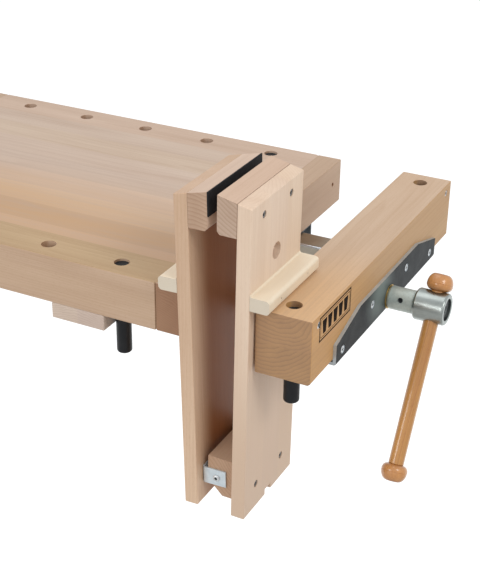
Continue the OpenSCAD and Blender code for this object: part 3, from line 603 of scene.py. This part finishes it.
def soften(bm, arris, rim, skip, wide, slot):
    """Rounds straight edges by arris and the rims of holes by rim, except those that skip picks.

    wide holds (pick, width, slot) for edges with a width and a material slot of their own.
    """
    for pick, width, wide_slot in wide:
        rounded(bm, [edge for edge in bm.edges if folded(edge) and pick(edge)], width, WIDE_STEPS, wide_slot)
    rims, straight = [], []
    for edge in bm.edges:
        if folded(edge) and not (skip and skip(edge)):
            (rims if curved(edge) else straight).append(edge)
    rounded(bm, rims, rim)
    rounded(bm, straight, arris, slot=slot)


def on_plane(axis, *places):
    """Picks the edges that lie wholly on one of the planes axis = place."""
    i = "XYZ".index(axis)
    return lambda edge: any(all(abs(vert.co[i] - place) < SAME for vert in edge.verts) for place in places)


def on_side(node, rough):
    """Picks the edges that lie on the node's outermost flat side in a rough direction."""
    normal = facing(node, rough)
    level = max(vert.co.dot(normal) for vert in cad_mesh(node).vertices)
    return lambda edge: all(abs(vert.co.dot(normal) - level) < SAME for vert in edge.verts)


def along(axis):
    """Picks the edges that run along an axis."""
    i = "XYZ".index(axis)
    return lambda edge: abs((edge.verts[1].co - edge.verts[0].co).normalized()[i]) > 0.99


def either(*picks):
    return lambda edge: any(pick(edge) for pick in picks)


def both(*picks):
    return lambda edge: all(pick(edge) for pick in picks)


def from_cad(node, material, arris, rim=0.0, skip=None, wide=(), extra=None, slot=0, mark=None):
    """Replaces a node by its own shape with rounded edges; mark picks faces that take the extra material."""
    bm = joined(node)
    bmesh.ops.dissolve_limit(bm, angle_limit=FLAT, verts=bm.verts, edges=bm.edges)
    soften(bm, arris, rim, skip, wide, slot)
    if mark:
        for face in bm.faces:
            if mark(face):
                face.material_index = 1
    looks_of = (material, extra) if extra else (material,)
    stand_for(link(node + "_piece", bm, *looks_of), node)


def turned(bm, rings, place, segments=48, closed=False):
    """Rings about local Z joined into a skin; a ring is (radius, height), its radius a number or a function.

    The skin gets a flat face on each end, or runs back to its first ring when it is closed.
    """
    made = []
    for radius, height in rings:
        ring = []
        for i in range(segments):
            angle = 2 * math.pi * i / segments
            reach = radius(angle) if callable(radius) else radius
            spot = Vector((reach * math.cos(angle), reach * math.sin(angle), height))
            ring.append(bm.verts.new(place @ spot))
        made.append(ring)
    for low, high in zip(made, made[1:] + made[:1] if closed else made[1:]):
        for i in range(segments):
            j = (i + 1) % segments
            bm.faces.new((low[i], low[j], high[j], high[i]))
    if not closed:
        bm.faces.new(list(reversed(made[0])))
        bm.faces.new(made[-1])
    return made


def arc(centre_r, centre_z, radius, start, stop, steps):
    """Profile points on an arc, angles in degrees from the outward direction."""
    points = []
    for i in range(steps + 1):
        angle = math.radians(start + (stop - start) * i / steps)
        points.append((centre_r + radius * math.cos(angle), centre_z + radius * math.sin(angle)))
    return points


def looking(axis, origin):
    """Places local Z along axis, at origin."""
    turn = axis.normalized().to_track_quat("Z", "Y").to_matrix().to_4x4()
    return Matrix.Translation(origin) @ turn


def facing(node, rough):
    """The node's face direction that is nearest to a rough direction."""
    normals = [face.normal.copy() for face in cad_mesh(node).polygons]
    return max(normals, key=lambda normal: normal.dot(rough))


def measured(node, axis):
    """A point on a turned node's axis, and its corners as (place along the axis, distance from it)."""
    place = looking(axis, (0, 0, 0))
    local = [place.inverted() @ vert.co for vert in cad_mesh(node).vertices]
    middle = [(min(p[i] for p in local) + max(p[i] for p in local)) / 2 for i in (0, 1)]
    rows = [(p.z, math.hypot(p.x - middle[0], p.y - middle[1])) for p in local]
    return place @ Vector((*middle, 0)), rows


def widest(rows):
    return max(radius for place, radius in rows)


def rod(place, radius, low, high):
    """A plain cutter along local Z."""
    bm = bmesh.new()
    turned(bm, [(radius, low), (radius, high)], place, segments=96)
    return placed("cutter", bm)


def cut(piece, *cutters):
    """Cuts the cutters out of the piece and removes them."""
    piece.modifiers.clear()
    for cutter in cutters:
        modifier = piece.modifiers.new("cut", "BOOLEAN")
        modifier.operation = "DIFFERENCE"
        modifier.solver = "EXACT"
        modifier.object = cutter
    bpy.context.view_layer.update()
    shape = bpy.data.meshes.new_from_object(piece.evaluated_get(bpy.context.evaluated_depsgraph_get()))
    piece.modifiers.clear()
    piece.data = shape
    for cutter in cutters:
        bpy.data.objects.remove(cutter)
    shaded(piece)


# ---------------- fasteners

def islands(node):
    """The corner points of each separate solid in a CAD node."""
    bm = joined(node)
    groups, seen = [], set()
    for start in bm.verts:
        if start in seen:
            continue
        seen.add(start)
        stack, group = [start], []
        while stack:
            vert = stack.pop()
            group.append(vert.co.copy())
            for edge in vert.link_edges:
                other = edge.other_vert(vert)
                if other not in seen:
                    seen.add(other)
                    stack.append(other)
        groups.append(group)
    bm.free()
    return groups


def rows_about(points, axis):
    """The points' middle, and each point as (place along the axis, distance from it)."""
    middle = Vector([(min(p[i] for p in points) + max(p[i] for p in points)) / 2 for i in range(3)])
    rows = []
    for point in points:
        place = (point - middle).dot(axis)
        rows.append((place, ((point - middle) - axis * place).length))
    return middle, rows


def hexagon(flats):
    """Radius of a hexagon, given across its flats, as a function of the angle."""
    def reach(angle):
        return flats / 2 / math.cos((angle % (math.pi / 3)) - math.pi / 6)
    return reach


def cross(length, width):
    """Radius of a cross-shaped recess with four arms, as a function of the angle."""
    def reach(angle):
        local = abs((angle + math.pi / 4) % (math.pi / 2) - math.pi / 4)
        if math.tan(local) < width / length:
            return length / 2 / math.cos(local)
        return width / 2 / math.sin(local)
    return reach


def screw_shape(bm, place, head_r, head, shank, length, domed, recess):
    """One wood screw, its head's top at local z = 0 and its point below."""
    rings = [(0.0004, -length), (shank, -length + 2.4 * shank), (shank, -head)]
    rings += [(head_r * wide, -head * deep) for wide, deep in (DOMED_HEAD if domed else FLAT_HEAD)]
    if not domed:
        rings += [(head_r * 0.985, -0.0001), (head_r * 0.93, 0.0)]
    rings += [(recess, 0.0), (lambda angle: recess(angle) * 0.93, -0.0003),
              (lambda angle: recess(angle) * 0.82, -head * RECESS_DEPTH)]
    # The recess floor takes the second material, painted shade.
    floor = turned(bm, rings, place, segments=72)[-1]
    for vert in floor:
        for face in vert.link_faces:
            face.material_index = 1


def screws(node, material, shade, rough, domed=False, cross_recess=False):
    """Replaces a node's screws, each at its CAD place and size; the floor of each recess takes the shade
    material, painted shade.
    """
    bm = bmesh.new()
    for group in islands(node):
        axis = facing(node, rough)
        middle, rows = rows_about(group, axis)
        head_r = widest(rows)
        if sum(place for place, radius in rows if radius > head_r * AT_RIM) < 0:
            axis = -axis
            rows = [(-place, radius) for place, radius in rows]
        top, bottom = max(rows)[0], min(rows)[0]
        head = top - min(place for place, radius in rows if radius > head_r * AT_RIM)
        shank = widest(row for row in rows if row[0] < bottom + SAME)
        recess = hexagon(head_r * HEXAGON_FLATS)
        if cross_recess:
            recess = cross(head_r * CROSS_LENGTH, head_r * CROSS_WIDTH)
        screw_shape(bm, looking(axis, middle + axis * top), head_r, head, shank, top - bottom, domed, recess)
    stand_for(link(node + "_piece", bm, material, shade, smooth=SCREW_SMOOTH), node)


def nails(node, material, rough):
    """Replaces a node's nails, each with a slightly domed head."""
    bm = bmesh.new()
    axis = facing(node, rough)
    for group in islands(node):
        middle, rows = rows_about(group, axis)
        top, bottom = max(rows)[0], min(rows)[0]
        head_r = widest(rows)
        shank = widest(row for row in rows if row[0] < bottom + SAME)
        point = bottom - top
        rings = [(0.0002, point), (shank, point + 0.003), (shank, -0.0012), (head_r * 0.95, -0.0009),
                 (head_r * 0.98, -0.0006), (head_r * 0.80, -0.0002), (head_r * 0.35, 0.0)]
        turned(bm, rings, looking(axis, middle + axis * top), segments=32)
    stand_for(link(node + "_piece", bm, material, smooth=SCREW_SMOOTH), node)


# ---------------- bench

def make_dog(node, material):
    """A round dog with a dished top, a fine groove under its head and a rounded nose."""
    origin, rows = measured(node, Z)
    r = widest(rows)
    top, bottom = max(rows)[0], min(rows)[0]
    rings = [(r - DOG_NOSE, bottom)] + arc(r - DOG_NOSE, bottom + DOG_NOSE, DOG_NOSE, -75, 0, 5)
    rings += [(r - inward, top - down) for inward, down in DOG_GROOVE + DOG_TOP]
    rings.append((r * 0.4, top - DOG_DISH))
    bm = bmesh.new()
    turned(bm, rings, Matrix.Translation((origin.x, origin.y, 0)), segments=72)
    stand_for(link(node + "_piece", bm, material), node)


def make_bench(m):
    """The top with its rails, end caps and battens, the vise's fixed parts below it, and its two dogs."""
    arris, rim = 0.0020, 0.0006
    rail_low, rail_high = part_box("front_rail")
    joint = on_plane("X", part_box("vise_end_cap")[0].x, rail_low.x)
    sides = on_plane("Y", rail_high.y, -rail_high.y)
    level = rail_high.z - 0.001
    from_cad("top_panel", m["panel"], 0.0008, skip=lambda edge: max(v.co.z for v in edge.verts) > level)
    from_cad("front_rail", m["rail"], arris, rim, either(joint, sides))
    from_cad("rear_rail", m["rear_rail"], arris, rim, either(joint, sides))
    for node in ("vise_end_cap", "plain_end_cap"):
        from_cad(node, m["cap"], arris, rim, joint)
    for node in ("vise_end_batten", "plain_end_batten"):
        from_cad(node, m["batten"], 0.0015, rim)
    screws("batten_screws", m["socket"], m["recess"], -Z)
    for node in ("vise_frame", "near_guide_saddle", "far_guide_saddle"):
        from_cad(node, m["dark_steel"], 0.0006, 0.0002)
    from_cad("spindle_nut", m["dark_steel"], 0.0012, 0.0005)
    screws("frame_screws", m["screw"], m["recess"], -Z, domed=True, cross_recess=True)
    screws("nut_screws", m["screw"], m["recess"], -Z, domed=True)
    screws("end_cap_screws", m["socket"], m["recess"], X)
    for node in ("near_bench_dog", "far_bench_dog"):
        make_dog(node, m["dog"])


# ---------------- attachment

def make_attachment(m):
    """Both boards with blocks, ledges, pad, brackets and screws, and dark seams where wood meets wood."""
    from_cad("back_board", m["back_board"], 0.0012, 0.0004)
    from_cad("front_board", m["board"], 0.0012, 0.0004)
    for node, look, rough in (("back_jaw_block", "back_block", -X), ("front_jaw_block", "front_block", X),
                              ("heel_block", "heel", X)):
        from_cad(node, m[look], 0.0008, 0.0003, wide=((on_side(node, rough), 0.0006, 1),), extra=m["seam"])
    for node, rim, rough in (("back_ledge", 0.0, X), ("front_ledge", 0.0002, -X)):
        from_cad(node, m["ledge"], 0.0007, rim, wide=((on_side(node, rough), 0.0003, 1),), extra=m["seam"])
    nails("ledge_nails", m["socket"], X)
    screws("bracket_guide_screws", m["screw"], m["recess"], X, domed=True, cross_recess=True)
    from_cad("rubber_pad", m["rubber"], 0.0004)
    screws("back_block_screws", m["socket"], m["recess"], -X)
    screws("front_block_screws", m["socket"], m["recess"], X)
    screws("heel_block_screws", m["socket"], m["recess"], X)
    screws("pivot_screws", m["screw"], m["recess"], -Y, domed=True)
    corner = both(along("Y"), lambda edge: edge.calc_length() < 0.004)
    for node in ("near_hinge_bracket", "far_hinge_bracket"):
        from_cad(node, m["zinc"], 0.0005, 0.0003, wide=((corner, 0.0035, 0),))


# ---------------- jaw

def slab(bm, outline, low_x, high_x):
    """A flat shape given by (y, z) corners, between two places along X."""
    low, high = ([bm.verts.new((x, y, z)) for y, z in outline] for x in (low_x, high_x))
    bm.faces.new(low)
    bm.faces.new(list(reversed(high)))
    for i in range(len(outline)):
        j = (i + 1) % len(outline)
        bm.faces.new((low[i], high[i], high[j], low[j]))


def make_badge(m):
    """A burnt mark on the jaw's outer face: a plain double frame with a row of dovetails, no letters."""
    jaw_low, jaw_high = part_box("vise_jaw")
    sunk, proud = jaw_high.x - BADGE_SUNK, jaw_high.x + BADGE_PROUD
    left, bottom = jaw_low.y + BADGE_PLACE[0], jaw_high.z - BADGE_PLACE[1]
    right, top = left + BADGE_WIDTH, bottom + BADGE_HEIGHT
    bm = bmesh.new()
    for inset, line in BADGE_FRAMES:
        near, far, low, high = left + inset, right - inset, bottom + inset, top - inset
        for y0, y1, z0, z1 in ((near, far, low, low + line), (near, far, high - line, high),
                               (near, near + line, low, high), (far - line, far, low, high)):
            slab(bm, [(y0, z0), (y1, z0), (y1, z1), (y0, z1)], sunk, proud)
    pitch = (BADGE_WIDTH - 2 * BADGE_MARGIN) / DOVETAILS
    low, high = bottom + BADGE_MARGIN, top - BADGE_MARGIN
    foot, head = pitch * DOVETAIL_FOOT, pitch * DOVETAIL_HEAD
    for i in range(DOVETAILS):
        middle = left + BADGE_MARGIN + (i + 0.5) * pitch
        slab(bm, [(middle - foot, low), (middle + foot, low), (middle + head, high), (middle - head, high)],
             sunk, proud)
    piece = link("burnt_badge", bm, m["burn"])
    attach(piece, BODY_OF["vise_jaw"])


def painted_highlight_faces(face):
    """Picks the plate's faces that point up or toward the near side, which take the painted highlight."""
    return face.normal.z > 0.35 or face.normal.y < -0.5


def make_jaw(m):
    """The wooden jaw with its plate, screws, guides, bush and two dogs."""
    from_cad("vise_jaw", m["jaw"], 0.0018, 0.0006)
    plate_low, plate_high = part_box("jaw_plate")
    bend = both(on_plane("X", plate_high.x), on_plane("Z", plate_low.z), along("Y"))
    # The plate's straight arrises and its upward and near faces take the painted highlight steel.
    from_cad("jaw_plate", m["plate"], 0.0009, 0.0003, wide=((bend, 0.0035, 0),), extra=m["plate_edge"],
             slot=1, mark=painted_highlight_faces)
    screws("jaw_plate_screws", m["screw"], m["recess"], X, domed=True, cross_recess=True)
    screws("jaw_face_screws", m["screw"], m["recess"], X)
    for node in ("near_guide", "far_guide"):
        bend = both(on_plane("Z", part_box(node)[1].z), along("X"))
        # The rounded upper bend takes the painted highlight steel.
        from_cad(node, m["guide"], 0.0006, wide=((bend, 0.003, 1),), extra=m["guide_edge"])
    from_cad("brass_bush", m["brass"], 0.0003, 0.0003)
    for node in ("near_jaw_dog", "far_jaw_dog"):
        make_dog(node, m["dog"])
    make_badge(m)


# ---------------- spindle

def spindle_line():
    """The spindle's placement, its local Z along X from x = 0, and its radius."""
    origin, rows = measured("spindle", X)
    return looking(X, (0, origin.y, origin.z)), widest(rows)


def pin_line():
    """The cross pin's placement, its radius and its two ends."""
    axis = facing("head_pin", PIN_WAY)
    middle, rows = measured("head_pin", axis)
    return looking(axis, middle), widest(rows), min(rows)[0], max(rows)[0]


def pin_bore():
    """A cutter for the hole that the cross pin fills."""
    place, radius, low, high = pin_line()
    return rod(place, radius, low - BORE_PAST, high + BORE_PAST)


def bar_bore():
    """A cutter for the hole that the handle runs through."""
    low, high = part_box("handle_bar")
    axis = facing("handle_bar", BAR_WAY)
    return rod(looking(axis, measured("handle_bar", axis)[0]), (high.x - low.x) / 2 + BAR_PLAY, -0.5, 0.5)


def helix(start, stop, crest, root, origin):
    """The skin of a single-start trapezoidal thread along X that sinks under the core at both ends."""
    turns = round((stop - start) / THREAD_LEAD)
    sunk = root - THREAD_SUNK
    rows = []
    for turn in range(turns):
        for share, radius in zip(THREAD_PROFILE, (root, root, crest, crest)):
            rows.append((start + (turn + share) * THREAD_LEAD, radius))
    rows.append((start + turns * THREAD_LEAD, root))
    bm = bmesh.new()
    made = []
    for place, radius in rows:
        line = []
        for i in range(THREAD_SEGMENTS + 1):
            angle = 2 * math.pi * i / THREAD_SEGMENTS
            x = place + THREAD_LEAD * (i / THREAD_SEGMENTS)
            ease = min(1.0, (x - start) / THREAD_LEAD, (stop + THREAD_LEAD - x) / THREAD_LEAD)
            reach = sunk + (radius - sunk) * max(0.0, ease)
            spot = (x, origin.y + reach * math.sin(angle), origin.z + reach * math.cos(angle))
            line.append(bm.verts.new(spot))
        made.append(line)
    for low, high in zip(made, made[1:]):
        for i in range(THREAD_SEGMENTS):
            bm.faces.new((low[i], low[i + 1], high[i + 1], high[i]))
    bmesh.ops.remove_doubles(bm, verts=bm.verts, dist=WELD)
    skin = bpy.data.meshes.new("thread_skin")
    bm.to_mesh(skin)
    bm.free()
    return skin


def make_spindle(m):
    """The threaded spindle: a plain journal with the cross pin's hole, a core and the thread's skin."""
    place, r = spindle_line()
    tail, head_x = (corner.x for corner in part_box("spindle"))
    root = r - THREAD_DEPTH
    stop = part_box("retaining_collar")[0].x - THREAD_STOP
    bm = bmesh.new()
    turned(bm, [(r, stop + 0.001), (r, head_x)], place, segments=72)
    journal = link("journal", bm, m["zinc"])
    cut(journal, pin_bore())
    bm = bmesh.new()
    bm.from_mesh(journal.data)
    bpy.data.objects.remove(journal)
    start = tail + THREAD_END
    core = [(root - THREAD_END, tail), (root, start), (root, stop), (r, stop + 0.0012)]
    turned(bm, core, place, segments=72)
    skin = helix(start, stop - THREAD_LEAD, r, root, place.translation)
    bm.from_mesh(skin)
    bpy.data.meshes.remove(skin)
    stand_for(link("spindle_piece", bm, m["zinc"], smooth=THREAD_SMOOTH), "spindle")


def make_spindle_head(m):
    """A cast collar and a turned head with a recessed end painted dark as shade, bored for the cross pin and
    the handle.
    """
    place, r = spindle_line()
    head_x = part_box("spindle")[1].x
    low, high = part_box("spindle_head")
    head_r = (high.z - low.z) / 2
    collar_r = widest(row for row in measured("spindle_head", X)[1] if row[0] < head_x - 0.002)
    step, end, rim = head_x + 0.004, high.x, 0.0030
    recess_r, recess = head_r - 0.008, 0.004
    rings = [(r, head_x - 0.0001), (r, low.x), (collar_r - 0.0030, low.x),
             (collar_r - 0.0030, low.x + 0.0012), (collar_r - 0.0012, low.x + 0.0014),
             (collar_r, low.x + 0.0030), (collar_r, head_x - 0.0022), (collar_r - 0.0006, head_x - 0.0012),
             (collar_r - 0.0012, head_x + 0.0002)]
    rings += [(head_r - 0.0034, head_x + 0.0010), (head_r - 0.0012, head_x + 0.0024),
              (head_r - 0.0002, step), (head_r, step + 0.0010), (head_r, end - rim - 0.0006),
              (head_r - 0.0003, end - rim)]
    rings += arc(head_r - rim - 0.0003, end - rim, rim, 15, 90, 5)
    rings += [(recess_r + 0.0010, end), (recess_r, end - 0.0006), (recess_r - 0.0003, end - recess),
              (recess_r * 0.34, end - recess), (recess_r * 0.30, end - recess - 0.0010),
              (0.0012, end - recess - 0.0016)]
    bm = bmesh.new()
    turned(bm, rings, place, segments=96)
    # The collar takes the cast steel, the head the turned steel and its end recess the third material,
    # painted shade.
    for face in bm.faces:
        middle = place.inverted() @ face.calc_center_median()
        in_recess = math.hypot(middle.x, middle.y) < recess_r and middle.z > end - recess - 0.003
        face.material_index = 0 if middle.z < head_x else 2 if in_recess else 1
    piece = link("spindle_head_piece", bm, m["cast"], m["turned"], m["recess"])
    cut(piece, pin_bore(), bar_bore())
    stand_for(piece, "spindle_head")


def make_head_pin(m):
    """The hollow cross pin that holds the head on the spindle."""
    place, r, low, high = pin_line()
    inner, soft, chamfer = r - 0.0015, 0.0005, 0.0008
    bm = bmesh.new()
    turned(bm, [(inner, low), (r - soft, low), (r, low + chamfer), (r, high - chamfer), (r - soft, high),
                (inner, high)], place, segments=48, closed=True)
    stand_for(link("head_pin_piece", bm, m["dark_steel"]), "head_pin")


def make_retaining_collar(m):
    """The ring behind the jaw that pulls it back, with the hole of its set screw."""
    place, r = spindle_line()
    low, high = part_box("retaining_collar")
    outer, soft = (high.z - low.z) / 2, 0.0008
    bm = bmesh.new()
    turned(bm, [(r, low.x), (outer - soft, low.x), (outer, low.x + soft), (outer, high.x - soft),
                (outer - soft, high.x), (r, high.x)], place, segments=72, closed=True)
    piece = link("retaining_collar_piece", bm, m["dark_steel"])
    middle = place.translation + X * (low.x + high.x) / 2
    cut(piece, rod(looking(-BAR_WAY, middle), 0.0026, outer - 0.0035, outer + BORE_PAST))
    stand_for(piece, "retaining_collar")


# ---------------- handle

def make_knob(node, material, place, tenon, depth, axis):
    """A bun-shaped knob with a fine line round it, on the tenon of the bar."""
    rows = measured(node, axis)[1]
    r = widest(rows)
    height = max(rows)[0] - min(rows)[0]
    soft = height * 0.36
    rings = [(tenon, depth), (tenon, 0.0), (r * 0.60, 0.0), (r * 0.62, 0.0002)]
    rings += arc(r - soft, soft, soft, -70, -8, 6)
    rings += [(r, soft), (r, soft + 0.0006), (r - 0.0005, soft + 0.0012), (r - 0.0001, soft + 0.0018)]
    for degrees in range(14, 86, 8):
        angle = math.radians(degrees)
        rings.append((r * (1 - 0.55 * (1 - math.cos(angle))), soft + (height - soft) * math.sin(angle)))
    rings += [(r * 0.44, height - 0.0001), (r * 0.40, height)]
    bm = bmesh.new()
    turned(bm, rings, place, segments=72)
    stand_for(link(node + "_piece", bm, material), node)


def make_handle(m):
    """A turned bar with a tenon and a knob on each end."""
    axis = facing("handle_bar", BAR_WAY)
    origin, rows = measured("handle_bar", axis)
    r = widest(rows)
    tenon = min(radius for place, radius in rows)
    low, high = min(rows)[0], max(rows)[0]
    body = [place for place, radius in rows if radius > r * 0.99]
    seat_low, seat_high, soft = min(body), max(body), 0.0010
    bm = bmesh.new()
    turned(bm, [(tenon, low), (tenon, seat_low), (r - soft, seat_low), (r, seat_low + soft),
                (r, seat_high - soft), (r - soft, seat_high), (tenon, seat_high), (tenon, high)],
           looking(axis, origin), segments=72)
    stand_for(link("handle_bar_piece", bm, m["handle"]), "handle_bar")
    for node, outward, seat in (("upper_knob", axis, seat_high), ("lower_knob", -axis, -seat_low)):
        place = looking(outward, origin) @ Matrix.Translation((0, 0, seat))
        make_knob(node, m["knob"], place, tenon, high - seat_high, outward)


# ---------------- the script

add_camera()
add_sky()
for light in LIGHTS:
    add_light(*light)
add_floor()

looks = {**bench_woods(), **attachment_woods(), **vise_woods(), **metals(), **dull_materials()}
make_bench(looks)
make_attachment(looks)
make_jaw(looks)
make_spindle(looks)
make_spindle_head(looks)
make_head_pin(looks)
make_retaining_collar(looks)
make_handle(looks)
